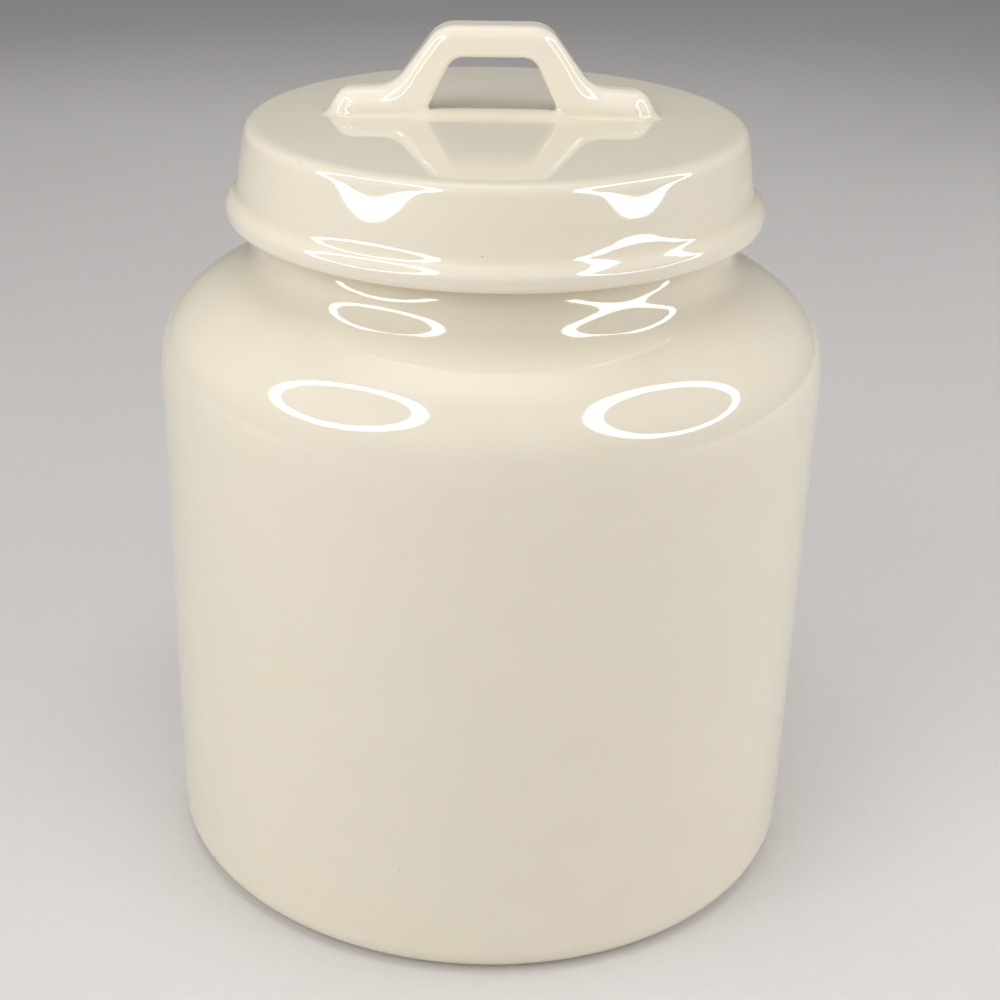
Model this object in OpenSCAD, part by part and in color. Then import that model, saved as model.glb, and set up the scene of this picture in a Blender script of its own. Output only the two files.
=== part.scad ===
// Glazed ceramic cookie jar with a lift-off lid.
// The jar is a straight-sided pot with a round shoulder, a waisted neck and a
// rolled rim. The lid is a hollow cast cap with a drafted skirt and a bead at
// its hem. A locating flange under the lid hangs in the mouth and carries a
// soft seal ring, and a strap handle stands on the crown.
// Millimetres, +Z up. The origin is on the table, on the jar's axis, and the
// handle runs along X. It was stuck on by hand, so it sits a little off the
// axis and a little turned.

/* [Jar] */
// Largest outside diameter, where the side meets the shoulder
jar_d = 171; // [168:0.5:176]
// Outside diameter just above the base corner
base_d = 170.4; // [166:0.2:172]
// Height at which the side ends and the shoulder starts
side_h = 135; // [120:0.5:150]
// Radius of the shoulder in section
shoulder_r = 21; // [19:0.5:23]
// Angle through which the shoulder turns before it runs straight to the neck
shoulder_turn = 58; // [52:1:62]
// Thickness of the jar's wall
wall = 6.5; // [5:0.5:8]
// Thickness of the jar's floor
floor_t = 7; // [5:0.5:9]

/* [Neck and rim] */
// Outside diameter at the waist of the neck
neck_d = 119.6; // [117:0.2:122]
// Radius of the hollow fillet between shoulder and neck
neck_fillet = 11; // [9:0.5:13]
// Lean of the neck wall from the vertical
neck_lean = 20; // [16:1:24]
// Height of the rim
rim_h = 174; // [172:0.1:176]
// Diameter of the mouth
mouth_d = 102; // [101:0.5:104]

/* [Foot] */
// Radius of the base corner
base_c = 7; // [5:0.5:9]
// Width of the bare foot ring
foot_w = 8; // [5:0.5:12]
// Depth of the recess inside the foot ring
foot_recess = 2; // [1:0.5:3]

/* [Lid] */
// Diameter of the skirt just under the crown's round edge
skirt_top_d = 126.6; // [124:0.2:128]
// Draft of the skirt from the vertical
skirt_draft = 8; // [6:0.5:10]
// Height of the skirt between its bead fillet and the crown's edge
skirt_h = 9.4; // [8:0.2:11]
// Radius of the crown's round edge
crown_edge = 6; // [5:0.5:7]
// Rise of the crown from its edge to its middle
crown_rise = 1.5; // [0.8:0.1:2.5]
// Radius of the bead above its nose
bead_r = 3.4; // [3:0.1:4]
// Radius of the bead below its nose
hem_r = 1.9; // [1.5:0.1:2.2]
// Radius of the hollow fillet between bead and skirt
bead_fillet = 6.5; // [5.5:0.5:7.5]
// Thickness of the lid's wall
lid_wall = 5.6; // [5:0.2:6.4]
// Gap between the jar's rim and the lid's seat
seat_gap = 0.3; // [0.2:0.05:0.5]

/* [Flange and seal] */
// Outside diameter of the locating flange under the lid
flange_d = 97.2; // [96:0.2:98]
// Thickness of the flange
flange_t = 5; // [4:0.5:6]
// Depth of the flange below the seat
flange_h = 14; // [12:0.5:16]
// Height of the seal ring
seal_h = 6; // [5:0.5:7]
// Gap between the seal's lips and the mouth
seal_gap = 0.4; // [0.3:0.05:0.8]

/* [Handle] */
// Height of the handle above the middle of the crown
handle_h = 21.3; // [18:0.1:25]
// Length of the handle over its two pads at the crown
handle_l = 81.6; // [78:0.2:84]
// Width of the strap
handle_w = 11.2; // [10:0.2:13]
// Offset of the handle's middle from the jar's axis, along X
handle_x = -1; // [-2:0.1:2]
// Turn of the handle from X, seen from above
handle_turn = -1.1; // [-3:0.1:3]
// Half width of the opening at its top
gap_top = 9.9; // [9.2:0.1:10.8]
// Half width of the opening at the crown
gap_foot = 16.6; // [15:0.1:17.5]
// Height of the opening's top above the middle of the crown
gap_h = 14; // [12:0.1:15]
// Height of the low web that ties the two legs together
web_h = 1.6; // [1:0.1:2.5]

/* [Hidden] */
$fn = 96;
cream = [0.93, 0.90, 0.83];

// Points on an arc about c with radius r, from angle a0 to a1 in n steps
function arc(c, r, a0, a1, n) =
    [for (i = [0:n]) let (a = a0 + (a1 - a0) * i / n) [c[0] + r * cos(a), c[1] + r * sin(a)]];
// Points on an arc whose outward normal points at its centre (a hollow fillet)
function hollow(c, r, a0, a1, n) =
    [for (i = [0:n]) let (a = a0 + (a1 - a0) * i / n) [c[0] - r * cos(a), c[1] - r * sin(a)]];
// The point at distance r from p along the normal of angle a
function off(p, r, a) = [p[0] + r * cos(a), p[1] + r * sin(a)];

// ---- jar section, radius then height ----
jar_r = jar_d / 2;
t1 = shoulder_turn;
t2 = neck_lean;
sh_c = [jar_r - shoulder_r, side_h];
sh_end = off(sh_c, shoulder_r, t1);
nk_r = neck_d / 2;
fil_r0 = nk_r + neck_fillet * (cos(t2) - cos(t1));
fil_z0 = sh_end[1] + (sh_end[0] - fil_r0) / tan(t1);
nk_c = off([fil_r0, fil_z0], neck_fillet, t1);
nk_z = nk_c[1] - neck_fillet * sin(t2);
rim_ro = 4.6;
rim_ri = 2.5;
rim_oz = rim_h - rim_ro * (1 - sin(t2));
rim_oc = [nk_r - (rim_oz - nk_z) * tan(t2) - rim_ro * cos(t2), rim_h - rim_ro];
mouth_r = mouth_d / 2;
rim_ic = [mouth_r + rim_ri, rim_h - rim_ri];
in_r = 3;
in_p = off([fil_r0, fil_z0], -wall, t1);
in_cx = mouth_r + in_r;
in_ex = in_cx + in_r * cos(180 + t1);
in_ez = in_p[1] + (in_p[0] - in_ex) / tan(t1);
in_c = [in_cx, in_ez - in_r * sin(180 + t1)];
in_floor = foot_recess + floor_t;
in_corner = 9;
foot_ro = base_d / 2 - base_c;
foot_ri = foot_ro - foot_w;

jar_section = concat(
    [[0, foot_recess], [foot_ri - 1.5, foot_recess], [foot_ri, 0]],
    arc([foot_ro, base_c], base_c, -90, 0, 7),
    arc(sh_c, shoulder_r, 0, t1, 9),
    hollow(nk_c, neck_fillet, t1, t2, 6),
    arc(rim_oc, rim_ro, t2, 90, 4),
    arc(rim_ic, rim_ri, 90, 180, 4),
    arc(in_c, in_r, 180, 180 + t1, 4),
    arc(sh_c, shoulder_r - wall, t1, 0, 8),
    arc([base_d / 2 - wall - in_corner, in_floor + in_corner], in_corner, 0, -90, 6),
    [[0, in_floor]]
);

// ---- lid section ----
seat_z = rim_h + seat_gap;
sk = skirt_draft;
bead_turn = 46;
nose_z = seat_z + 0.18 + hem_r;
bead_z = nose_z + bead_r * sin(bead_turn);
fil_lz = bead_z + bead_fillet * (sin(bead_turn) - sin(sk));
skirt_z1 = fil_lz + skirt_h;
skirt_r1 = skirt_top_d / 2;
skirt_r0 = skirt_r1 + skirt_h * tan(sk);
lf_c = off([skirt_r0, fil_lz], bead_fillet, sk);
bead_p = off(lf_c, -bead_fillet, bead_turn);
bead_c = off(bead_p, -bead_r, bead_turn);
nose_r = bead_c[0] + bead_r;
hem_c = [nose_r - hem_r, bead_c[1]];
ce_c = off([skirt_r1, skirt_z1], -crown_edge, sk);
crown_a = 87;
crown_p = off(ce_c, crown_edge, crown_a);
crown_z = crown_p[1] + crown_rise;
function crown(r) = crown_p[1] + crown_rise * (1 - pow(r / crown_p[0], 2));

lid_outside = concat(
    [for (i = [0:5]) let (r = crown_p[0] * i / 6) [r, crown(r)]],
    arc(ce_c, crown_edge, crown_a, sk, 7),
    hollow(lf_c, bead_fillet, sk, bead_turn, 5),
    arc(bead_c, bead_r, bead_turn, 0, 4),
    arc(hem_c, hem_r, 0, -90, 5)
);

flange_r = flange_d / 2;
flange_ri = flange_r - flange_t;
flange_z = seat_z - flange_h;
groove_d = 1.2;
groove_z0 = flange_z + 3;
groove_z1 = groove_z0 + seal_h + 0.6;
pk_r = skirt_r0 - lid_wall - 0.8;
pk_z0 = seat_z + lid_wall;
pk_z1 = crown_p[1] - lid_wall;

lid_section = concat(
    lid_outside,
    [[rim_oc[0] + rim_ro + 2.5, seat_z], [flange_r + 1.2, seat_z], [flange_r, seat_z - 1.2]],
    [[flange_r, groove_z1], [flange_r - groove_d, groove_z1], [flange_r - groove_d, groove_z0], [flange_r, groove_z0]],
    arc([flange_r - 1, flange_z + 1], 1, 0, -90, 3),
    arc([flange_ri + 1, flange_z + 1], 1, -90, -180, 3),
    arc([flange_ri + 3, pk_z0 - 3], 3, 180, 90, 4),
    arc([pk_r - 3, pk_z0 + 3], 3, -90, 0, 4),
    arc([skirt_r1 - lid_wall - 4.6, pk_z1 - 4], 4, 0, 90, 4),
    [[0, pk_z1 + crown_rise]]
);

// ---- seal section: a band with two soft lips ----
sl_ri = flange_r - groove_d + 0.3;
sl_ro = mouth_r - seal_gap;
sl_b = flange_r + 0.5;
sl_z0 = groove_z0 + 0.3;
sl_z1 = sl_z0 + seal_h;
seal_section = [
    [sl_ri, sl_z0], [sl_b, sl_z0],
    [sl_b, sl_z0 + 0.5], [sl_ro, sl_z0 + 1.3], [sl_ro, sl_z0 + 2.0], [sl_b, sl_z0 + 1.7],
    [sl_b, sl_z1 - 2.3], [sl_ro, sl_z1 - 1.5], [sl_ro, sl_z1 - 0.8], [sl_b, sl_z1 - 1.1],
    [sl_b, sl_z1], [sl_ri, sl_z1]
];

// ---- handle outline in the plane of the strap, from the middle outwards ----
hz = crown_z + handle_h;
leg_a = 37;
top_r = 8;
top_x = 9.2;
leg_p = off([top_x, hz - top_r], top_r, leg_a);
pad_z = crown_z + 6.2;
pad_fall = 3;
pf_r = 8;
pf_z = pad_z + pf_r * (sin(90 - pad_fall) - sin(leg_a));
pf_x = leg_p[0] + (leg_p[1] - pf_z) * tan(leg_a);
pf_c = off([pf_x, pf_z], pf_r, leg_a);
end_a = 30;
end_r = 4.5;
end_x = handle_l / 2 - 6;
end_z = pad_z - (end_x - pf_c[0]) * tan(pad_fall);
end_c = off([end_x, end_z], -end_r, 90 - pad_fall);
end_p = off(end_c, end_r, end_a);
deep = crown_z - 6;

half_outline = concat(
    arc([top_x, hz - top_r], top_r, 90, leg_a, 5),
    hollow(pf_c, pf_r, leg_a, 90 - pad_fall, 5),
    arc(end_c, end_r, 90 - pad_fall, end_a, 5),
    [[end_p[0] + (end_p[1] - deep) * tan(end_a), deep]]
);
gz = crown_z + gap_h;
gap_lean = atan((gap_foot - gap_top) / gap_h);
gap_c = 4.5;
gap_cx = gap_top - gap_c * tan((90 - gap_lean) / 2);
half_gap = concat(
    arc([gap_cx, gz - gap_c], gap_c, 90, gap_lean, 4),
    [[gap_top + (gz - deep) * tan(gap_lean), deep]]
);
function mirrored(p) = concat(p, [for (i = [len(p) - 1:-1:0]) [-p[i][0], p[i][1]]]);

plan_r = 4.2;
plan_x = handle_l / 2 + 0.6;
half_plan = concat(
    arc([plan_x - plan_r, -handle_w / 2 + plan_r], plan_r, -90, -12, 4),
    arc([plan_x - plan_r, handle_w / 2 - plan_r], plan_r, 12, 90, 4)
);

// Pot: floor, foot ring, side, shoulder, neck and rolled rim
module jar_body() color(cream) rotate_extrude() polygon(jar_section);

// Cap: crown, skirt, bead, seat and the hollow flange below it
module lid() color(cream) rotate_extrude() polygon(lid_section);

// The solid that the crown and skirt bound, used to fit the handle to the crown
module lid_mass() rotate_extrude() polygon(concat(lid_outside, [[0, hem_c[1] - hem_r]]));

// A prism of the given outline across the strap's width
module strap(w, p) rotate([90, 0, 0]) linear_extrude(height = w, center = true) polygon(p);

// Strap handle: two pads, two leaning legs, a top bar and a low web
module lid_handle() color(cream) difference() {
    translate([handle_x, 0, 0]) rotate([0, 0, handle_turn]) union() {
        intersection() {
            difference() {
                strap(handle_w, mirrored(half_outline));
                strap(handle_w + 2, mirrored(half_gap));
            }
            translate([0, 0, deep - 1]) linear_extrude(height = hz - deep + 2) polygon(mirrored(half_plan));
        }
        strap(handle_w - 3, [[-gap_foot - 2, deep], [gap_foot + 2, deep], [gap_foot + 1, crown_z + web_h], [-gap_foot - 1, crown_z + web_h]]);
    }
    lid_mass();
}

// Soft ring in the flange's groove, with two lips towards the mouth
module seal_ring() color([0.90, 0.90, 0.88]) rotate_extrude() polygon(seal_section);

jar_body();
lid();
lid_handle();
seal_ring();
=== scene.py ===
# Glazed ceramic cookie jar with a lift-off lid: surfaces, materials, light and camera.
# Sections are (radius, height) in millimetres; meshes are written in metres.
import itertools
import math

import bpy
import numpy as np
from mathutils import Matrix, Vector


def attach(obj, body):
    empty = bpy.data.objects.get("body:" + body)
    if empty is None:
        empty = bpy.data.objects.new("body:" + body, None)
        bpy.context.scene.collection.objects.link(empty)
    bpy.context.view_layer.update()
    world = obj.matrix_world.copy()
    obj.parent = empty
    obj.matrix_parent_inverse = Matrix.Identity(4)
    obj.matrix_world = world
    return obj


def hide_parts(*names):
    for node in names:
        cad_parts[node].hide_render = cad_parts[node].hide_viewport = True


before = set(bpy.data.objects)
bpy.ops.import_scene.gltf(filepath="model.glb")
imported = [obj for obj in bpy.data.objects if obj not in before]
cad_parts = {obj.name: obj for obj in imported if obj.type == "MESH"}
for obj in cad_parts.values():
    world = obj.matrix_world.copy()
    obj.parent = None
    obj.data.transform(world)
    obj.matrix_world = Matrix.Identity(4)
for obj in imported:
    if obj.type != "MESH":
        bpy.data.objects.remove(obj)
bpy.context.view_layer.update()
scene = bpy.context.scene
MM = 0.001

# ---------------------------------------------------------------- sections


def cosd(a):
    return math.cos(math.radians(a))


def sind(a):
    return math.sin(math.radians(a))


def arc(c, r, a0, a1, n):
    """Points on an arc about c, from angle a0 to a1 in n steps."""
    a = np.radians(np.linspace(a0, a1, n + 1))
    return np.column_stack([c[0] + r * np.cos(a), c[1] + r * np.sin(a)])


def off(p, r, a):
    """The point at distance r from p along the direction a."""
    return (p[0] + r * cosd(a), p[1] + r * sind(a))


def line(p, q, n):
    """Points from p to q in n steps."""
    t = np.linspace(0, 1, n + 1)[:, None]
    return np.array(p) * (1 - t) + np.array(q) * t


def monotone(x, y, q):
    """Smooth interpolation through (x, y) that never overshoots, at the values q."""
    x, y = np.array(x, float), np.array(y, float)
    h = np.diff(x)
    d = np.diff(y) / h
    m = np.zeros(len(x))
    for i in range(1, len(x) - 1):
        if d[i - 1] * d[i] > 0:
            w1, w2 = 2 * h[i] + h[i - 1], h[i] + 2 * h[i - 1]
            m[i] = (w1 + w2) / (w1 / d[i - 1] + w2 / d[i])
    m[0], m[-1] = d[0], d[-1]
    k = np.clip(np.searchsorted(x, q) - 1, 0, len(x) - 2)
    t = (q - x[k]) / h[k]
    return (
        y[k] * (1 + 2 * t) * (1 - t) ** 2
        + y[k + 1] * t * t * (3 - 2 * t)
        + h[k] * m[k] * t * (1 - t) ** 2
        - h[k] * m[k + 1] * t * t * (1 - t)
    )


def turned(start, knots, end, step):
    """A section line that turns smoothly. knots are (distance along the line, elevation of the
    outward normal in degrees). The small error at its end is spread along it, so that it meets end."""
    s_end = knots[-1][0]
    n = int(round(s_end / step * 8))
    s = np.linspace(0, s_end, n + 1)
    phi = np.radians(monotone([k[0] for k in knots], [k[1] for k in knots], s))
    ds = s[1] - s[0]
    r = start[0] - np.concatenate([[0], np.cumsum((np.sin(phi[1:]) + np.sin(phi[:-1])) / 2 * ds)])
    z = start[1] + np.concatenate([[0], np.cumsum((np.cos(phi[1:]) + np.cos(phi[:-1])) / 2 * ds)])
    r += (end[0] - r[-1]) * s / s_end
    z += (end[1] - z[-1]) * s / s_end
    return np.column_stack([r, z])[::8]


def joined(*runs):
    """The runs as one line, without repeated points."""
    pts = np.vstack(runs)
    keep = np.concatenate([[True], np.hypot(*np.diff(pts, axis=0).T) > 1e-4])
    return pts[keep]


# Jar: the same sizes as the construction model
wall, in_floor, rim_h, mouth_r = 6.5, 9.0, 174.0, 51.0
foot_ro, foot_ri, base_r, base_c, recess = 78.2, 70.2, 85.2, 7.0, 2.0
sh_c, sh_r, t1, t2 = (64.5, 135.0), 21.0, 58.0, 20.0
sh_end = off(sh_c, sh_r, t1)
nk_r, nk_f = 59.8, 11.0
fil_r0 = nk_r + nk_f * (cosd(t2) - cosd(t1))
fil_z0 = sh_end[1] + (sh_end[0] - fil_r0) / math.tan(math.radians(t1))
nk_c = off((fil_r0, fil_z0), nk_f, t1)
nk_z = nk_c[1] - nk_f * sind(t2)
rim_ro, rim_ri, in_r = 4.6, 2.5, 3.0
rim_oz = rim_h - rim_ro * (1 - sind(t2))
rim_oc = (nk_r - (rim_oz - nk_z) * math.tan(math.radians(t2)) - rim_ro * cosd(t2), rim_h - rim_ro)
rim_ic = (mouth_r + rim_ri, rim_h - rim_ri)
in_p = off((fil_r0, fil_z0), -wall, t1)
in_cx = mouth_r + in_r
in_ex = in_cx + in_r * cosd(180 + t1)
in_ez = in_p[1] + (in_p[0] - in_ex) / math.tan(math.radians(t1))
in_c = (in_cx, in_ez - in_r * sind(180 + t1))
in_corner = 9.0

# Outside of the jar from the base corner to the neck. The shoulder eases in and out of its curve, and
# the neck is a little rounder on the left than on the right.
neck_p = (57.03, 171.72)


def jar_side(neck):
    shoulder = [(0, 0.0), (100, -0.05), (111, -0.3), (119, -0.4), (124, 0.0), (127, 1.4), (131, 5.6), (135, 13.0),
                (139, 28.0), (143, 41.3), (147, 50.3), (151, 57.0), (155, 59.6), (159, 60.3), (161, 59.5), (163, 56.2)]
    return turned((base_r - 0.02, base_c), shoulder + neck, neck_p, 0.5)


side_left = jar_side([(164.2, 50.8), (165.4, 45.0), (166.6, 39.0), (167.8, 32.6), (169, 25.3), (171, 12.9), (172, 13.6),
                     (173, 20.0), (174.4, 30.0), (175.8, 41.0), (177, 48.0)])
side_right = jar_side([(164, 52.0), (165, 47.8), (166, 42.6), (167, 36.0), (168, 27.6), (169, 20.4), (171, 14.4),
                       (172.2, 15.4), (173.2, 21.0), (174.4, 30.0), (175.8, 41.0), (177, 48.0)])
rim_run = turned(neck_p, [(0, 48.0), (2.0, 50.0), (3.0, 66.0), (3.8, 84.0), (4.1, 90.0)], (53.8, rim_h), 0.4)
jar_inner = joined(
    arc(rim_ic, rim_ri, 90, 180, 10),
    line((mouth_r, rim_ic[1]), (mouth_r, in_c[1]), 6),
    arc(in_c, in_r, 180, 180 + t1, 8),
    arc(sh_c, sh_r - wall, t1, 0, 18),
    line((79.0, 135), (78.7, 18), 60),
    arc((base_r - wall - in_corner, in_floor + in_corner), in_corner, 0, -90, 12),
    line((base_r - wall - in_corner, in_floor), (0, in_floor), 44),
)
jar_under = joined(
    line((0, recess), (foot_ri - 3.2, recess), 44),
    arc((foot_ri - 3.2, recess - 1.2), 1.2, 90, 40, 4),
    arc((foot_ri + 0.1, 0.8), 0.8, 220, 270, 5),
    line((foot_ri + 0.1, 0.0), (foot_ro - 0.02, 0.0), 12),
)
base_run = arc((foot_ro - 0.02, base_c), base_c, -90, 0, 16)
jar_section = joined(jar_under, base_run, side_left, rim_run, jar_inner)
jar_right = joined(jar_under, base_run, side_right, rim_run, jar_inner)

# Lid
seat_z, skirt_draft, bead_turn = 174.3, 8.0, 46.0
hem_r, bead_r, bead_f, skirt_h, crown_e, lid_wall = 1.9, 3.4, 6.5, 9.4, 6.0, 5.6
crown_rise, hem_drop = 1.5, 0.85
nose_z = seat_z + 0.18 + hem_r
bead_z = nose_z + bead_r * sind(bead_turn)
fil_lz = bead_z + bead_f * (sind(bead_turn) - sind(skirt_draft))
skirt_z1 = fil_lz + skirt_h
skirt_r1 = 63.3
skirt_r0 = skirt_r1 + skirt_h * math.tan(math.radians(skirt_draft))
lf_c = off((skirt_r0, fil_lz), bead_f, skirt_draft)
bead_p = off(lf_c, -bead_f, bead_turn)
bead_c = off(bead_p, -bead_r, bead_turn)
nose_r = bead_c[0] + bead_r
hem_c = (nose_r - hem_r, bead_c[1])
ce_c = off((skirt_r1, skirt_z1), -crown_e, skirt_draft)
crown_p = off(ce_c, crown_e, 87)
crown_z = crown_p[1] + crown_rise


def crown(r):
    """Height of the crown's gentle dome at radius r."""
    return crown_p[1] + crown_rise * (1 - (r / crown_p[0]) ** 2)


def lid_side(bead):
    """The lid from its hem to its crown. bead is the run over the bead into the skirt."""
    hem = [(0, -79.0), (1.3, -44.0), (2.6, -7.1), (2.98 + hem_drop, -4.3)]
    edge = [(16, 7.6), (17.5, 8.0), (19, 8.4), (20.5, 8.9), (22, 11.0), (24, 47.0), (26, 78.2), (27.5, 86.5), (28.1, 87.0)]
    rise = [(s + hem_drop, e) for s, e in bead + edge]
    return turned((hem_c[0], hem_c[1] - hem_r - hem_drop), hem + rise, crown_p, 0.2)


bead_left = [(3.6, 11.0), (4.3, 26.8), (5, 37.8), (5.6, 43.9), (6.4, 49.8), (7, 42.6), (7.6, 34.8), (8.7, 18.6),
             (9.5, 10.2), (10.2, 7.5), (11.5, 6.1), (13, 6.3), (14.5, 7.3)]
bead_right = [(3.6, 9.5), (4.3, 27.8), (5, 41.2), (5.6, 43.2), (6.4, 44.6), (7, 43.4), (7.6, 40.7), (8.7, 17.7),
              (9.5, 13.9), (10.2, 11.1), (11.5, 8.9), (13, 6.8), (14.5, 5.6)]
crown_run = np.array([(r, crown(r)) for r in np.linspace(crown_p[0], 0, 60)])
flange_r, flange_t, flange_h, seal_h, groove_d = 48.6, 5.0, 14.0, 6.0, 1.2
flange_ri, flange_z = flange_r - flange_t, seat_z - flange_h
groove_z0 = flange_z + 3
groove_z1 = groove_z0 + seal_h + 0.6
pk_r, pk_z0, pk_z1 = skirt_r0 - lid_wall - 0.8, seat_z + lid_wall, crown_p[1] - lid_wall
seat_ro = rim_oc[0] + rim_ro + 2.5
lid_under = joined(
    line((0, pk_z1 + crown_rise), (skirt_r1 - lid_wall - 8.6, pk_z1), 30),
    arc((skirt_r1 - lid_wall - 4.6 - 4, pk_z1 - 4), 4, 90, 0, 8) + np.array([4, 0]),
    line((skirt_r1 - lid_wall - 0.6, pk_z1 - 4), (pk_r, pk_z0 + 3), 6),
    arc((pk_r - 3, pk_z0 + 3), 3, 0, -90, 8),
    line((pk_r - 3, pk_z0), (flange_ri + 3, pk_z0), 8),
    arc((flange_ri + 3, pk_z0 - 3), 3, 90, 180, 8),
    line((flange_ri, pk_z0 - 3), (flange_ri, flange_z + 1), 12),
    arc((flange_ri + 1, flange_z + 1), 1, 180, 270, 6),
    line((flange_ri + 1, flange_z), (flange_r - 1, flange_z), 6),
    arc((flange_r - 1, flange_z + 1), 1, -90, 0, 6),
    line((flange_r, flange_z + 1), (flange_r, groove_z0 - 0.25), 4),
    arc((flange_r - 0.25, groove_z0 - 0.25), 0.25, 0, 90, 3),
    line((flange_r - 0.25, groove_z0), (flange_r - groove_d, groove_z0), 3),
    line((flange_r - groove_d, groove_z0), (flange_r - groove_d, groove_z1), 6),
    line((flange_r - groove_d, groove_z1), (flange_r - 0.25, groove_z1), 3),
    arc((flange_r - 0.25, groove_z1 + 0.25), 0.25, -90, 0, 3),
    line((flange_r, groove_z1 + 0.25), (flange_r, seat_z - 1.2), 5),
    arc((flange_r + 1.2, seat_z - 1.2), 1.2, 180, 90, 5),
    line((flange_r + 1.2, seat_z), (seat_ro, seat_z), 8),
    line((seat_ro, seat_z), (hem_c[0], hem_c[1] - hem_r - hem_drop), 6),
)
lid_section = joined(lid_under, lid_side(bead_left), crown_run)
lid_right = joined(lid_under, lid_side(bead_right), crown_run)

# Seal ring: a band with two soft lips
sl_ri, sl_ro, sl_b = flange_r - groove_d + 0.3, mouth_r - 0.4, flange_r + 0.5
sl_z0 = groove_z0 + 0.3
sl_z1 = sl_z0 + seal_h


def lip(z):
    """One lip of the seal, rounded at its tip, rising from the band at height z."""
    return joined(
        arc((sl_b + 0.25, z + 0.22), 0.25, 180, 250, 3),
        arc((sl_ro - 0.36, z + 1.12), 0.36, -58, 100, 8),
        arc((sl_b + 0.3, z + 1.5), 0.3, 280, 180, 3)[:, :] + np.array([0.0, 0.12]),
    )


seal_section = joined(
    arc((sl_ri + 0.25, sl_z0 + 0.25), 0.25, 180, 270, 4),
    arc((sl_b - 0.25, sl_z0 + 0.25), 0.25, 270, 360, 4),
    lip(sl_z0 + 0.5),
    line((sl_b, sl_z0 + 2.5), (sl_b, sl_z1 - 2.8), 2),
    lip(sl_z1 - 2.3),
    arc((sl_b - 0.25, sl_z1 - 0.25), 0.25, 0, 90, 4),
    arc((sl_ri + 0.25, sl_z1 - 0.25), 0.25, 90, 180, 4),
)

# ---------------------------------------------------------------- meshes


def mesh_object(name, verts, faces, values):
    """A smooth-shaded closed mesh from points in millimetres. faces is a list of index arrays, one per
    face size, and values are per-point numbers by name."""
    co = np.asarray(verts, float)
    vol = 0.0
    for f in faces:
        for i in range(1, f.shape[1] - 1):
            vol += float((co[f[:, 0]] * np.cross(co[f[:, i]], co[f[:, i + 1]])).sum())
    if vol < 0:
        faces = [f[:, ::-1] for f in faces]
    sizes = np.concatenate([np.full(len(f), f.shape[1]) for f in faces])
    loops = np.concatenate([f.ravel() for f in faces])
    me = bpy.data.meshes.new(name)
    me.vertices.add(len(co))
    me.vertices.foreach_set("co", (co * MM).astype(np.float32).ravel())
    me.loops.add(len(loops))
    me.loops.foreach_set("vertex_index", loops.astype(np.int32))
    me.polygons.add(len(sizes))
    me.polygons.foreach_set("loop_start", np.concatenate([[0], np.cumsum(sizes)[:-1]]).astype(np.int32))
    me.update(calc_edges=True)
    me.validate()
    me.polygons.foreach_set("use_smooth", np.ones(len(me.polygons), bool))
    for key, v in values.items():
        me.attributes.new(key, "FLOAT", "POINT").data.foreach_set("value", np.asarray(v, np.float32))
    me.update()
    ob = bpy.data.objects.new(name, me)
    scene.collection.objects.link(ob)
    return ob


def lathe(name, section, seg, open_loop, shift=None, values=None, right=None, lift=None):
    """Turns a section about Z. An open line starts and ends on the axis; a loop closes on itself.
    shift(r, z, angle) gives a small radial offset and lift(x, y, z) a small offset in height. right is the
    section on the +X side, if it differs."""
    n = len(section)
    ang = 2 * np.pi * np.arange(seg) / seg
    t = np.clip((np.cos(ang) + 0.2) / 0.5, 0, 1)
    hand = t * t * (3 - 2 * t)
    right = section if right is None else right
    k = np.arange(seg)
    k1 = (k + 1) % seg
    verts, ring, at = [], [], 0
    for (r, z), (r2, z2) in zip(section, right):
        if r < 1e-6:
            verts.append([[0.0, 0.0, z]])
        else:
            rr = r + (r2 - r) * hand + (shift(r, z, ang) if shift else 0 * ang)
            verts.append(np.column_stack([rr * np.cos(ang), rr * np.sin(ang), z + (z2 - z) * hand]))
        ring.append((at, len(verts[-1])))
        at += len(verts[-1])
    quads, tris = [], []
    for i in range(n - 1 if open_loop else n):
        (a, na), (b, nb) = ring[i], ring[(i + 1) % n]
        if na == 1:
            tris.append(np.column_stack([0 * k + a, b + k, b + k1]))
        elif nb == 1:
            tris.append(np.column_stack([a + k, 0 * k + b, a + k1]))
        else:
            quads.append(np.column_stack([a + k, b + k, b + k1, a + k1]))
    faces = [np.vstack(f) for f in (quads, tris) if f]
    spread = {}
    for key, v in (values or {}).items():
        spread[key] = np.concatenate([np.full(m, x) for (_, m), x in zip(ring, v)])
    verts = np.vstack(verts)
    if lift:
        verts[:, 2] += lift(*verts.T)
    return mesh_object(name, verts, faces, spread)


def bend(section, open_loop, reach):
    """How the section curves at each point, in 1/mm, averaged over a reach: positive where it is
    convex (glaze runs thin), negative where it is hollow (glaze gathers)."""
    p = np.asarray(section)
    d = np.diff(p, axis=0)
    s = np.concatenate([[0], np.cumsum(np.hypot(d[:, 0], d[:, 1]))])
    a = np.unwrap(np.arctan2(d[:, 1], d[:, 0]))
    mid = (s[1:] + s[:-1]) / 2
    hi = np.interp(s + reach, mid, a)
    lo = np.interp(s - reach, mid, a)
    return (hi - lo) / (2 * reach)


def jar_shift(r, z, ang):
    """A cast pot is never quite round: it is a little oval and carries slight swells."""
    w = np.clip((z - 4) / 20, 0, 1) * np.clip((164 - z) / 20, 0, 1)
    return w * (0.10 * np.cos(2 * ang) + 0.04 * np.cos(3 * ang + 1.3 + z / 55) - 0.06)


def lid_shift(r, z, ang):
    """The lid's skirt and bead wander by a tenth of a millimetre."""
    if r < 52 or z < seat_z + 0.1:
        return 0 * ang
    return 0.05 * np.cos(2 * ang + 0.8) + 0.04 * np.cos(5 * ang + 0.3) * np.clip((186 - z) / 6, 0, 1)


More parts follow.
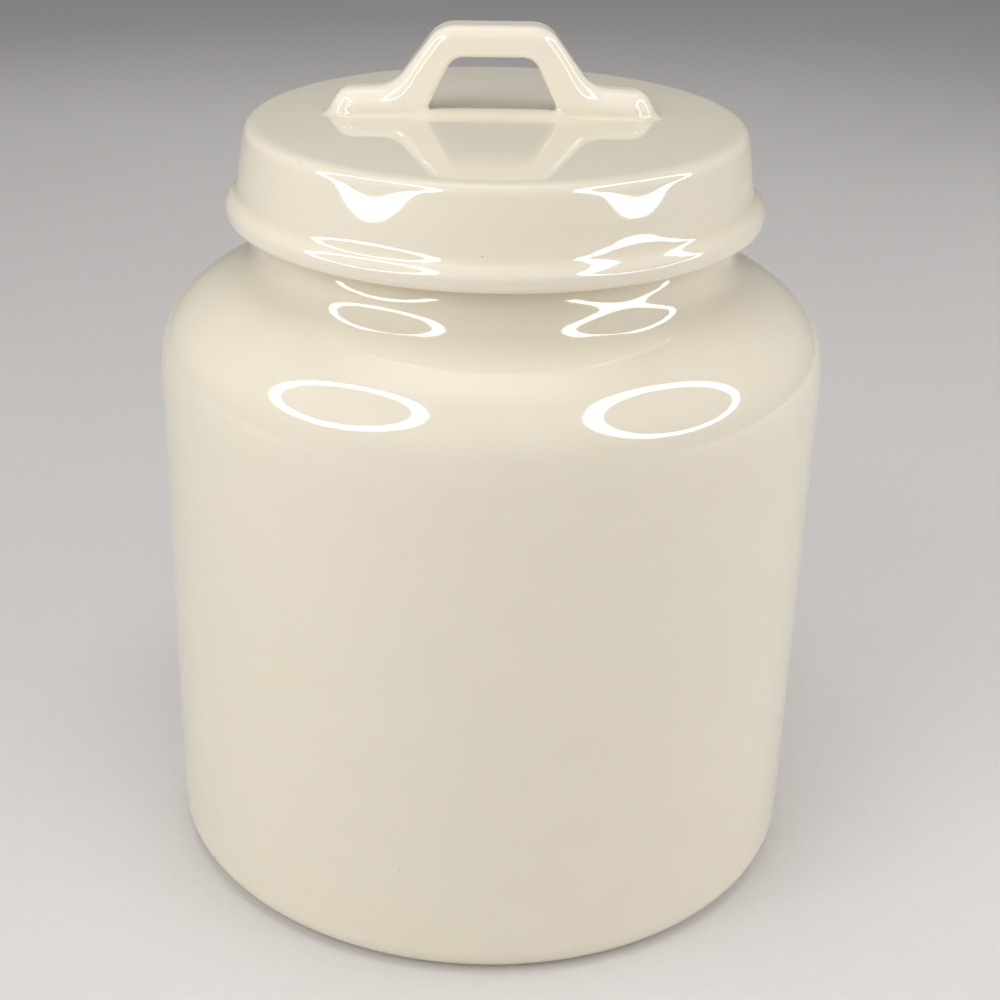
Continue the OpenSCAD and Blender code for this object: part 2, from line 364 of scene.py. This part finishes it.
def bare_jar(section):
    """1 on the bare foot ring, fading out where the glaze starts."""
    r, z = section.T
    ring = np.clip((z * -1 + 0.9) / 0.5, 0, 1) * (r > foot_ri - 1.2) * (r < foot_ro + 3)
    return ring


def bare_lid(section):
    """1 on the wiped lower edge of the flange."""
    r, z = section.T
    return np.clip((flange_z + 0.9 - z) / 0.5, 0, 1)


handle_x, handle_turn = -1.0, -1.1


def web(x, y):
    """Height of the low web between the handle's legs. Its crest is at the front of the legs, and it runs
    out on the crown before and behind it."""
    dx = x - handle_x
    u = dx * cosd(handle_turn) + y * sind(handle_turn)
    v = y * cosd(handle_turn) - dx * sind(handle_turn) + 4.5
    run = np.clip(np.where(v < 0, -v / 7.5, v / 8.5), 0, 1)
    side = np.clip((np.abs(u) - 13) / 8, 0, 1)
    return 1.5 * (1 - run * run * (3 - 2 * run)) * (1 - side * side * (3 - 2 * side))


def crown_lift(x, y, z):
    return np.where(z > crown_p[1] - 0.01, web(x, y), 0)


jar = lathe("jar_pot", jar_section, 256, True, jar_shift,
            {"bend": bend(jar_section, True, 1.6), "bare": bare_jar(jar_section)}, jar_right)
lid = lathe("lid_cap", lid_section, 256, True, lid_shift,
            {"bend": bend(lid_section, True, 1.2), "bare": bare_lid(lid_section)}, lid_right, crown_lift)
seal = lathe("seal_lips", seal_section, 192, False)

# Handle: a rounded strap with two pads, two leaning legs and a top bar, blended into the crown and the web
hz, leg_a, top_r, top_x = crown_z + 21.3, 37.0, 8.0, 9.2
handle_l, handle_w = 81.6, 11.2
leg_p = off((top_x, hz - top_r), top_r, leg_a)
pad_z, pad_fall, pf_r = crown_z + 6.2, 3.0, 8.0
pf_z = pad_z + pf_r * (sind(90 - pad_fall) - sind(leg_a))
pf_x = leg_p[0] + (leg_p[1] - pf_z) * math.tan(math.radians(leg_a))
pf_c = off((pf_x, pf_z), pf_r, leg_a)
end_a, end_r, end_x = 30.0, 4.5, handle_l / 2 - 6.0
end_z = pad_z - (end_x - pf_c[0]) * math.tan(math.radians(pad_fall))
end_c = off((end_x, end_z), -end_r, 90 - pad_fall)
end_p = off(end_c, end_r, end_a)
deep = crown_z - 12
gap_top, gap_foot, gap_h, gap_c = 9.9, 16.6, 14.0, 4.5
gz = crown_z + gap_h
gap_lean = math.degrees(math.atan((gap_foot - gap_top) / gap_h))
gap_cx = gap_top - gap_c * math.tan(math.radians((90 - gap_lean) / 2))


def mirrored(p):
    return np.vstack([p, p[::-1] * np.array([-1, 1])])


outline = mirrored(joined(
    arc((top_x, hz - top_r), top_r, 90, leg_a, 14),
    arc(pf_c, pf_r, 180 + leg_a, 180 + 90 - pad_fall, 12),
    arc(end_c, end_r, 90 - pad_fall, end_a, 10),
    [(end_p[0] + (end_p[1] - deep) * math.tan(math.radians(end_a)), deep)],
))
opening = mirrored(joined(
    arc((gap_cx, gz - gap_c), gap_c, 90, gap_lean, 10),
    [(gap_top + (gz - deep) * math.tan(math.radians(gap_lean)), deep)],
))


def to_polygon(x, y, poly):
    """Signed distance to a closed polygon, negative inside."""
    best = np.full(x.shape, 1e9)
    inside = np.zeros(x.shape, bool)
    for (ax, ay), (bx, by) in zip(poly, np.roll(poly, -1, axis=0)):
        ex, ey = bx - ax, by - ay
        wx, wy = x - ax, y - ay
        t = np.clip((wx * ex + wy * ey) / max(ex * ex + ey * ey, 1e-12), 0, 1)
        best = np.minimum(best, (wx - t * ex) ** 2 + (wy - t * ey) ** 2)
        if ay != by:
            cut = ((ay <= y) & (by > y)) | ((by <= y) & (ay > y))
            inside ^= cut & (x < ax + (y - ay) * ex / ey)
    return np.where(inside, -1, 1) * np.sqrt(best)


class FlatMap:
    """Signed distance to a polygon in the plane of the strap, looked up from a fine table."""

    def __init__(self, poly, lo, hi, h):
        self.lo, self.h = lo, h
        x, z = np.meshgrid(np.arange(lo[0], hi[0] + h, h), np.arange(lo[1], hi[1] + h, h), indexing="ij")
        self.d = to_polygon(x, z, poly)

    def __call__(self, x, z):
        u, v = (x - self.lo[0]) / self.h, (z - self.lo[1]) / self.h
        i = np.clip(u.astype(int), 0, self.d.shape[0] - 2)
        j = np.clip(v.astype(int), 0, self.d.shape[1] - 2)
        s, t = u - i, v - j
        d = self.d
        return (d[i, j] * (1 - s) + d[i + 1, j] * s) * (1 - t) + (d[i, j + 1] * (1 - s) + d[i + 1, j + 1] * s) * t


def both(a, b, r):
    """Where both shapes are, with the edge rounded by r."""
    return np.minimum(np.maximum(a, b), -r) + np.hypot(np.maximum(a + r, 0), np.maximum(b + r, 0))


def either(a, b, r):
    """Where either shape is, with the corner filled by a fillet r."""
    return np.maximum(np.minimum(a, b), r) - np.hypot(np.maximum(r - a, 0), np.maximum(r - b, 0))


edge_r, gap_edge, foot_f = 3.0, 1.1, 1.6
sink = 0.05
to_outline = FlatMap(outline, (-50, deep - 1), (50, hz + 5), 0.12)
to_opening = FlatMap(opening, (-50, deep - 1), (50, hz + 5), 0.12)


def handle_field(p):
    """Signed distance of the handle with its fillet, cut just under the crown. It was stuck on by hand, so
    it stands a little off the axis and a little turned. Its edges are rounder on the pads than on the legs."""
    dx, dy, z = p[..., 0] - handle_x, p[..., 1], p[..., 2]
    x = dx * cosd(handle_turn) + dy * sind(handle_turn)
    y = dy * cosd(handle_turn) - dx * sind(handle_turn)
    t = np.clip((np.abs(x) - 16) / 8, 0, 1)
    round_r = edge_r + 1.4 * t * t * (3 - 2 * t)
    strap = both(both(to_outline(x, z), np.abs(y) - handle_w / 2, round_r), -to_opening(x, z), gap_edge)
    top = z - crown(np.hypot(p[..., 0], dy)) - web(p[..., 0], dy)
    filled = either(strap, top + sink, foot_f)
    skin = np.maximum(-(top + 0.5), strap - foot_f - 0.25)
    return np.maximum(filled, skin)


def zero_mesh(field, lo, hi, h):
    """A quad mesh of the field's zero surface on a grid of pitch h, then drawn onto that surface."""
    axes = [np.arange(a, b + h, h) for a, b in zip(lo, hi)]
    f = field(np.stack(np.meshgrid(*axes, indexing="ij"), -1))
    n = np.array(f.shape) - 1
    corner = {c: f[c[0]:c[0] + n[0], c[1]:c[1] + n[1], c[2]:c[2] + n[2]] for c in itertools.product((0, 1), repeat=3)}
    count = sum((v < 0).astype(int) for v in corner.values())
    live = (count > 0) & (count < 8)
    index = np.full(live.shape, -1)
    index[live] = np.arange(live.sum())
    total, hits = np.zeros(live.shape + (3,)), np.zeros(live.shape)
    for c0 in corner:
        for ax in range(3):
            if c0[ax] == 1:
                continue
            c1 = tuple(1 if i == ax else v for i, v in enumerate(c0))
            a, b = corner[c0], corner[c1]
            cross = (a < 0) != (b < 0)
            t = np.where(cross, a / np.where(cross, a - b, 1), 0)
            for i in range(3):
                total[..., i] += cross * (c0[i] + (t if i == ax else 0))
            hits += cross
    cell = np.stack(np.nonzero(live), -1)
    verts = np.array(lo) + (cell + total[live] / hits[live][:, None]) * h
    faces = []
    for ax in range(3):
        u, v = (ax + 1) % 3, (ax + 2) % 3
        a = np.take(f, range(0, f.shape[ax] - 1), axis=ax)
        b = np.take(f, range(1, f.shape[ax]), axis=ax)
        where = np.stack(np.nonzero((a < 0) != (b < 0)), -1)
        ok = (where[:, u] > 0) & (where[:, v] > 0) & (where[:, u] < n[u]) & (where[:, v] < n[v])
        where = where[ok]
        down = (a < 0)[tuple(where.T)]
        quad = []
        for du, dv in ((1, 1), (0, 1), (0, 0), (1, 0)):
            w = where.copy()
            w[:, u] -= du
            w[:, v] -= dv
            quad.append(index[tuple(w.T)])
        quad = np.stack(quad, -1)
        quad[~down] = quad[~down][:, ::-1]
        faces.append(quad)
    faces = np.vstack(faces)

    def pull(p, rounds):
        for _ in range(rounds):
            d = field(p)
            e = 1e-3
            g = np.stack([(field(p + e * np.eye(3)[i]) - d) / e for i in range(3)], -1)
            g2 = np.maximum((g * g).sum(-1), 0.2)
            p = p - np.clip(d / g2, -0.3, 0.3)[:, None] * g
        return p

    edges = np.unique(np.sort(np.vstack([faces[:, [i, (i + 1) % 4]] for i in range(4)]), axis=1), axis=0)
    degree = np.bincount(edges.ravel(), minlength=len(verts))[:, None]

    def around(q):
        acc = np.zeros_like(q)
        np.add.at(acc, edges[:, 0], q[edges[:, 1]])
        np.add.at(acc, edges[:, 1], q[edges[:, 0]])
        return acc / np.maximum(degree, 1)

    verts = pull(verts, 2)
    for _ in range(3):
        verts = pull(verts + 0.5 * (around(verts) - verts), 1)
    verts = pull(verts, 1)
    lap = around(verts) - verts
    e = 1e-3
    g = np.stack([(field(verts + e * np.eye(3)[i]) - field(verts - e * np.eye(3)[i])) / (2 * e) for i in range(3)], -1)
    g /= np.maximum(np.linalg.norm(g, axis=1), 1e-6)[:, None]
    curve = -(lap * g).sum(-1)[:, None] * 4 / h ** 2
    for _ in range(4):
        curve = 0.5 * curve + 0.5 * around(curve)
    return verts, [faces], curve[:, 0] / 2


hv, hf, hb = zero_mesh(handle_field, (-46, -10, crown_z - 2.5), (46, 10, hz + 1.5), 0.36)
# Painted light: the handle above its foot is painted up to about 8% paler, for the stronger light that falls on it.
painted_light_ramp = np.clip((hv[:, 2] - crown(np.hypot(hv[:, 0], hv[:, 1])) - 0.4) / 3.0, 0, 1)
handle = mesh_object("lid_strap", hv, hf, {"bend": hb, "painted_light": painted_light_ramp * painted_light_ramp * (3 - 2 * painted_light_ramp)})

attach(jar, "jar")
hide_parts("jar_body")
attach(lid, "lid")
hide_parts("lid")
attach(handle, "lid")
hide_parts("lid_handle")
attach(seal, "seal")
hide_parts("seal_ring")

# ---------------------------------------------------------------- materials


class Graph:
    """A small helper to build a material's nodes."""

    def __init__(self, name):
        self.mat = bpy.data.materials.new(name)
        self.mat.use_nodes = True
        self.tree = self.mat.node_tree
        self.tree.nodes.clear()

    def add(self, kind, **props):
        node = self.tree.nodes.new(kind)
        for k, v in props.items():
            setattr(node, k, v)
        return node

    def link(self, a, b):
        self.tree.links.new(a, b)

    def noise(self, where, scale, detail=2.0, rough=0.5, offset=0.0):
        shift = self.add("ShaderNodeVectorMath", operation="ADD")
        shift.inputs[1].default_value = (offset, offset * 0.7, offset * 1.3)
        self.link(where, shift.inputs[0])
        n = self.add("ShaderNodeTexNoise", noise_dimensions="3D")
        n.inputs["Scale"].default_value = scale
        n.inputs["Detail"].default_value = detail
        n.inputs["Roughness"].default_value = rough
        self.link(shift.outputs[0], n.inputs["Vector"])
        return n.outputs["Fac"]

    def span(self, value, a, b, c, d, smooth=False):
        m = self.add("ShaderNodeMapRange", interpolation_type="SMOOTHSTEP" if smooth else "LINEAR")
        for i, x in zip(("From Min", "From Max", "To Min", "To Max"), (a, b, c, d)):
            m.inputs[i].default_value = x
        self.link(value, m.inputs["Value"])
        return m.outputs["Result"]

    def math(self, op, a, b):
        m = self.add("ShaderNodeMath", operation=op)
        for i, v in enumerate((a, b)):
            if isinstance(v, (int, float)):
                m.inputs[i].default_value = v
            else:
                self.link(v, m.inputs[i])
        return m.outputs[0]

    def mix(self, fac, a, b, blend="MIX"):
        m = self.add("ShaderNodeMix", data_type="RGBA", blend_type=blend)
        for i, v in ((0, fac), (6, a), (7, b)):
            if isinstance(v, (int, float)):
                m.inputs[i].default_value = v
            elif isinstance(v, tuple):
                m.inputs[i].default_value = (*v, 1)
            else:
                self.link(v, m.inputs[i])
        return m.outputs[2]


def glaze(name, seed):
    """Ivory glaze over pale clay. It gathers in hollows, runs thin over edges, carries faint cloudy
    drifts and a few pinholes, and its surface swims very slightly. Wiped rings show bare clay. On the
    handle above its foot the colour is painted paler: painted light."""
    g = Graph(name)
    where = g.add("ShaderNodeTexCoord").outputs["Object"]
    bend_a = g.add("ShaderNodeAttribute", attribute_name="bend").outputs["Fac"]
    bare_a = g.add("ShaderNodeAttribute", attribute_name="bare").outputs["Fac"]
    drift = g.noise(where, 16.0, 3.0, 0.55, seed)
    cloud = g.noise(where, 75.0, 3.0, 0.6, seed + 3.1)
    grain = g.noise(where, 1400.0, 2.0, 0.6, seed + 5.7)
    painted_light_a = g.add("ShaderNodeAttribute", attribute_name="painted_light").outputs["Fac"]
    drift = g.span(drift, 0.35, 0.65, 0, 1, True)
    # Painted light: where the handle rises above its foot, the tone is mixed to a copy about 8% paler.
    tone = g.mix(painted_light_a, g.mix(drift, (0.770, 0.722, 0.600), (0.774, 0.719, 0.612)),
                 g.mix(drift, (0.832, 0.782, 0.672), (0.836, 0.779, 0.684)))
    tone = g.mix(1.0, tone, g.mix(g.span(cloud, 0.3, 0.7, 0, 1), (0.985, 0.983, 0.978), (1.0, 1.0, 1.0)), "MULTIPLY")
    pool = g.span(bend_a, -0.30, -0.03, 1.0, 0.0, True)
    tone = g.mix(g.math("MULTIPLY", pool, 0.55), tone, (0.715, 0.645, 0.500))
    thin = g.span(bend_a, 0.10, 0.50, 0.0, 1.0, True)
    tone = g.mix(g.math("MULTIPLY", thin, 0.35), tone, (0.775, 0.715, 0.610))
    # pinholes
    cells = g.add("ShaderNodeTexVoronoi", voronoi_dimensions="3D", feature="F1")
    cells.inputs["Scale"].default_value = 78.0
    g.link(where, cells.inputs["Vector"])
    pick = g.add("ShaderNodeSeparateColor")
    g.link(cells.outputs["Color"], pick.inputs[0])
    size = g.span(pick.outputs[0], 0.0, 1.0, 0.008, 0.030)
    hole = g.span(g.math("DIVIDE", cells.outputs["Distance"], size), 0.55, 1.0, 1.0, 0.0, True)
    hole = g.math("MULTIPLY", hole, g.span(pick.outputs[1], 0.55, 0.60, 0.0, 1.0))
    tone = g.mix(g.math("MULTIPLY", hole, 0.72), tone, (0.17, 0.115, 0.065))
    # bare clay
    ragged = g.math("ADD", bare_a, g.span(g.noise(where, 420.0, 3.0, 0.6, seed + 1.7), 0.2, 0.8, -0.35, 0.35))
    bare = g.math("MULTIPLY", g.span(ragged, 0.42, 0.58, 0.0, 1.0, True), g.span(bare_a, 0.0, 0.05, 0.0, 1.0))
    clay = g.mix(g.span(grain, 0.3, 0.7, 0, 1), (0.63, 0.52, 0.40), (0.74, 0.64, 0.52))
    tone = g.mix(bare, tone, clay)
    rough = g.span(g.noise(where, 34.0, 3.0, 0.6, seed + 8.2), 0.3, 0.7, 0.035, 0.07)
    rough = g.math("ADD", rough, g.math("MULTIPLY", bare, 0.78))
    rough = g.math("ADD", rough, g.math("MULTIPLY", hole, 0.3))
    # the surface swims: a slow swell and a finer orange peel
    swell = g.noise(where, 40.0, 1.0, 0.4, seed + 2.3)
    peel = g.noise(where, 190.0, 1.0, 0.5, seed + 4.9)
    height = g.math("ADD", g.math("MULTIPLY", swell, 1.0), g.math("MULTIPLY", peel, 0.10))
    height = g.math("ADD", height, g.math("MULTIPLY", g.math("MULTIPLY", grain, bare), 0.5))
    height = g.math("SUBTRACT", height, g.math("MULTIPLY", hole, 0.35))
    bump = g.add("ShaderNodeBump")
    bump.inputs["Strength"].default_value = 1.0
    bump.inputs["Distance"].default_value = 0.00007
    g.link(height, bump.inputs["Height"])
    sh = g.add("ShaderNodeBsdfPrincipled")
    sh.inputs["IOR"].default_value = 1.52
    g.link(tone, sh.inputs["Base Color"])
    g.link(rough, sh.inputs["Roughness"])
    g.link(bump.outputs["Normal"], sh.inputs["Normal"])
    g.link(sh.outputs[0], g.add("ShaderNodeOutputMaterial").inputs["Surface"])
    return g.mat


def silicone(name):
    """Soft milky silicone with a satin skin, a little dust and faint moulding streaks."""
    g = Graph(name)
    where = g.add("ShaderNodeTexCoord").outputs["Object"]
    dust = g.noise(where, 900.0, 3.0, 0.6, 1.0)
    haze = g.noise(where, 90.0, 2.0, 0.5, 2.0)
    tone = g.mix(g.span(haze, 0.3, 0.7, 0, 1), (0.70, 0.70, 0.67), (0.78, 0.78, 0.76))
    tone = g.mix(g.span(dust, 0.60, 0.75, 0.0, 0.35, True), tone, (0.86, 0.85, 0.82))
    sh = g.add("ShaderNodeBsdfPrincipled")
    sh.inputs["Subsurface Weight"].default_value = 0.35
    sh.inputs["Subsurface Radius"].default_value = (1.0, 0.95, 0.85)
    sh.inputs["Subsurface Scale"].default_value = 0.0012
    sh.inputs["IOR"].default_value = 1.41
    g.link(tone, sh.inputs["Base Color"])
    g.link(g.span(dust, 0.3, 0.7, 0.38, 0.55), sh.inputs["Roughness"])
    bump = g.add("ShaderNodeBump")
    bump.inputs["Strength"].default_value = 0.25
    bump.inputs["Distance"].default_value = 0.00005
    g.link(dust, bump.inputs["Height"])
    g.link(bump.outputs["Normal"], sh.inputs["Normal"])
    g.link(sh.outputs[0], g.add("ShaderNodeOutputMaterial").inputs["Surface"])
    return g.mat


def sweep(name):
    """Pale matt studio floor."""
    g = Graph(name)
    where = g.add("ShaderNodeTexCoord").outputs["Object"]
    fine = g.noise(where, 260.0, 4.0, 0.6)
    slow = g.noise(where, 3.0, 2.0, 0.5, 4.0)
    tone = g.mix(g.span(slow, 0.3, 0.7, 0, 1), (0.755, 0.740, 0.740), (0.790, 0.775, 0.775))
    tone = g.mix(1.0, tone, g.mix(g.span(fine, 0.3, 0.7, 0, 1), (0.97, 0.97, 0.97), (1.0, 1.0, 1.0)), "MULTIPLY")
    sh = g.add("ShaderNodeBsdfPrincipled")
    g.link(tone, sh.inputs["Base Color"])
    g.link(g.span(fine, 0.3, 0.7, 0.55, 0.7), sh.inputs["Roughness"])
    g.link(sh.outputs[0], g.add("ShaderNodeOutputMaterial").inputs["Surface"])
    return g.mat


jar.data.materials.append(glaze("jar_glaze", 0.0))
lid.data.materials.append(glaze("lid_glaze", 11.0))
handle.data.materials.append(glaze("handle_glaze", 23.0))
seal.data.materials.append(silicone("seal"))

# ---------------------------------------------------------------- floor, light and camera

floor_mesh = bpy.data.meshes.new("floor")
n_floor = 48
a = np.linspace(0, 2 * np.pi, n_floor, endpoint=False)
floor_mesh.from_pydata([(6 * math.cos(t), 6 * math.sin(t), -0.00002) for t in a], [], [tuple(range(n_floor))])
floor = bpy.data.objects.new("floor", floor_mesh)
scene.collection.objects.link(floor)
floor.data.materials.append(sweep("floor"))


def ring_light(name, centre, target, r_in, r_out, power):
    """The glowing tube of a ring lamp: a flat annulus that faces the target and shows in the glaze."""
    n = 96
    t = np.linspace(0, 2 * np.pi, n, endpoint=False)
    verts = [(r * math.cos(x) * MM, r * math.sin(x) * MM, 0) for r in (r_in, r_out) for x in t]
    faces = [(k, (k + 1) % n, n + (k + 1) % n, n + k) for k in range(n)]
    me = bpy.data.meshes.new(name)
    me.from_pydata(verts, [], faces)
    ob = bpy.data.objects.new(name, me)
    scene.collection.objects.link(ob)
    c, d = Vector(centre) * MM, Vector(target) * MM
    ob.matrix_world = Matrix.Translation(c) @ (d - c).to_track_quat("Z", "Y").to_matrix().to_4x4()
    g = Graph(name)
    e = g.add("ShaderNodeEmission")
    e.inputs["Color"].default_value = (1.0, 0.985, 0.96, 1)
    e.inputs["Strength"].default_value = power
    g.link(e.outputs[0], g.add("ShaderNodeOutputMaterial").inputs["Surface"])
    me.materials.append(g.mat)
    ob.visible_camera = False
    ob.visible_diffuse = False
    ob.visible_shadow = False
    return ob


def soft_lamp(name, place, target, size, power):
    """A soft lamp of the given size, a rectangle or a disc. power is its radiance. It is too
    diffuse to show in the glaze."""
    lamp = bpy.data.lights.new(name, "AREA")
    if isinstance(size, tuple):
        lamp.shape = "RECTANGLE"
        lamp.size, lamp.size_y = size
        area = size[0] * size[1]
    else:
        lamp.shape = "DISK"
        lamp.size = size
        area = math.pi * size ** 2 / 4
    lamp.energy = power * math.pi * area
    lamp.color = (1.0, 0.985, 0.96)
    ob = bpy.data.objects.new(name, lamp)
    scene.collection.objects.link(ob)
    c, d = Vector(place), Vector(target)
    ob.matrix_world = Matrix.Translation(c) @ (d - c).to_track_quat("-Z", "Y").to_matrix().to_4x4()
    ob.visible_camera = False
    ob.visible_glossy = False
    return ob


def soft_panel(name, place, target, size, power):
    """A wide soft source that only shows in the glaze. It is brightest in the middle and fades out to its edges."""
    n = 24
    u = np.linspace(-1, 1, n + 1)
    verts = [(x * size[0] / 2, y * size[1] / 2, 0) for y in u for x in u]
    at = [j * (n + 1) + i for j in range(n) for i in range(n)]
    me = bpy.data.meshes.new(name)
    me.from_pydata(verts, [], [(k, k + 1, k + n + 2, k + n + 1) for k in at])
    glow = [power * (1 - x * x) ** 2 * (1 - y * y) ** 2 for y in u for x in u]
    me.attributes.new("glow", "FLOAT", "POINT").data.foreach_set("value", np.array(glow, np.float32))
    ob = bpy.data.objects.new(name, me)
    scene.collection.objects.link(ob)
    c, d = Vector(place), Vector(target)
    ob.matrix_world = Matrix.Translation(c) @ (d - c).to_track_quat("Z", "Y").to_matrix().to_4x4()
    g = Graph(name)
    e = g.add("ShaderNodeEmission")
    e.inputs["Color"].default_value = (1.0, 0.985, 0.96, 1)
    g.link(g.add("ShaderNodeAttribute", attribute_name="glow").outputs["Fac"], e.inputs["Strength"])
    g.link(e.outputs[0], g.add("ShaderNodeOutputMaterial").inputs["Surface"])
    me.materials.append(g.mat)
    ob.visible_camera = False
    ob.visible_diffuse = False
    ob.visible_shadow = False
    return ob


ring_light("ring_left", (-106.4, -94.4, 240.9), (-44.9, -30, 190.2), 55.9, 69.7, 14.0)
ring_light("ring_right", (171.8, -100.2, 254.2), (100.2, -30, 168.8), 85.9, 105.6, 14.0)
soft_lamp("glow_left", (-0.1062, -0.0941, 0.2411), (-0.0449, -0.03, 0.1902), 0.14, 0.28)
soft_lamp("glow_right", (0.1730, -0.1007, 0.2551), (0.1002, -0.03, 0.1688), 0.21, 0.20)
soft_lamp("soft_left", (-0.85, -0.28, 0.17), (0, 0, 0.1), (0.8, 0.28), 3.05)
soft_lamp("soft_right", (0.88, -0.12, 0.17), (0, 0, 0.1), (0.8, 0.28), 3.5)
soft_lamp("soft_back", (0.75, 0.42, 0.25), (0, 0, 0.1), (0.6, 0.4), 0.93)
soft_lamp("soft_rear", (-0.15, 0.85, 0.62), (0, 0, 0.12), (0.9, 0.5), 0.9)
soft_lamp("soft_near", (0.0, -0.36, 0.46), (0, 0, 0.15), (0.16, 0.16), 0.14)
soft_lamp("soft_high_left", (-0.50, -0.55, 0.70), (0, 0, 0.12), (0.5, 0.5), 2.75)
soft_lamp("soft_high_right", (0.55, -0.50, 0.70), (0, 0, 0.12), (0.5, 0.5), 1.35)
soft_lamp("soft_over", (-0.05, -0.12, 0.85), (0, 0, 0.12), (0.5, 0.4), 3.05)
soft_lamp("soft_front", (0.02, -0.85, 0.36), (0, 0, 0.12), (0.6, 0.4), 1.25)
soft_panel("panel_top", (-0.04, 0.06, 1.0), (-0.04, 0.06, 0.1), (1.20, 0.80), 2.0)

world = bpy.data.worlds.new("studio")
scene.world = world
world.use_nodes = True
world.node_tree.nodes["Background"].inputs["Color"].default_value = (1.0, 0.985, 0.97, 1)
world.node_tree.nodes["Background"].inputs["Strength"].default_value = 0.24

scene.view_settings.view_transform = "Standard"
scene.view_settings.look = "None"

cam_data = bpy.data.cameras.new("camera")
cam = bpy.data.objects.new("camera", cam_data)
scene.collection.objects.link(cam)
cam_data.sensor_width = 36.0
cam_data.lens = 1803.7447 / 1000 * 36.0
cam_data.shift_x = 0.0799
cam_data.clip_start, cam_data.clip_end = 0.02, 30.0
tilt, roll = 0.4434, 0.0086
ahead = Vector((0, math.cos(tilt), -math.sin(tilt)))
side0 = Vector((1, 0, 0))
up0 = side0.cross(ahead)
side = side0 * math.cos(roll) + up0 * math.sin(roll)
up = up0 * math.cos(roll) - side0 * math.sin(roll)
pose = Matrix((side, up, -ahead)).transposed().to_4x4()
cam.matrix_world = Matrix.Translation(Vector((-17.888, -443.676, 302.781)) * MM) @ pose
scene.camera = cam
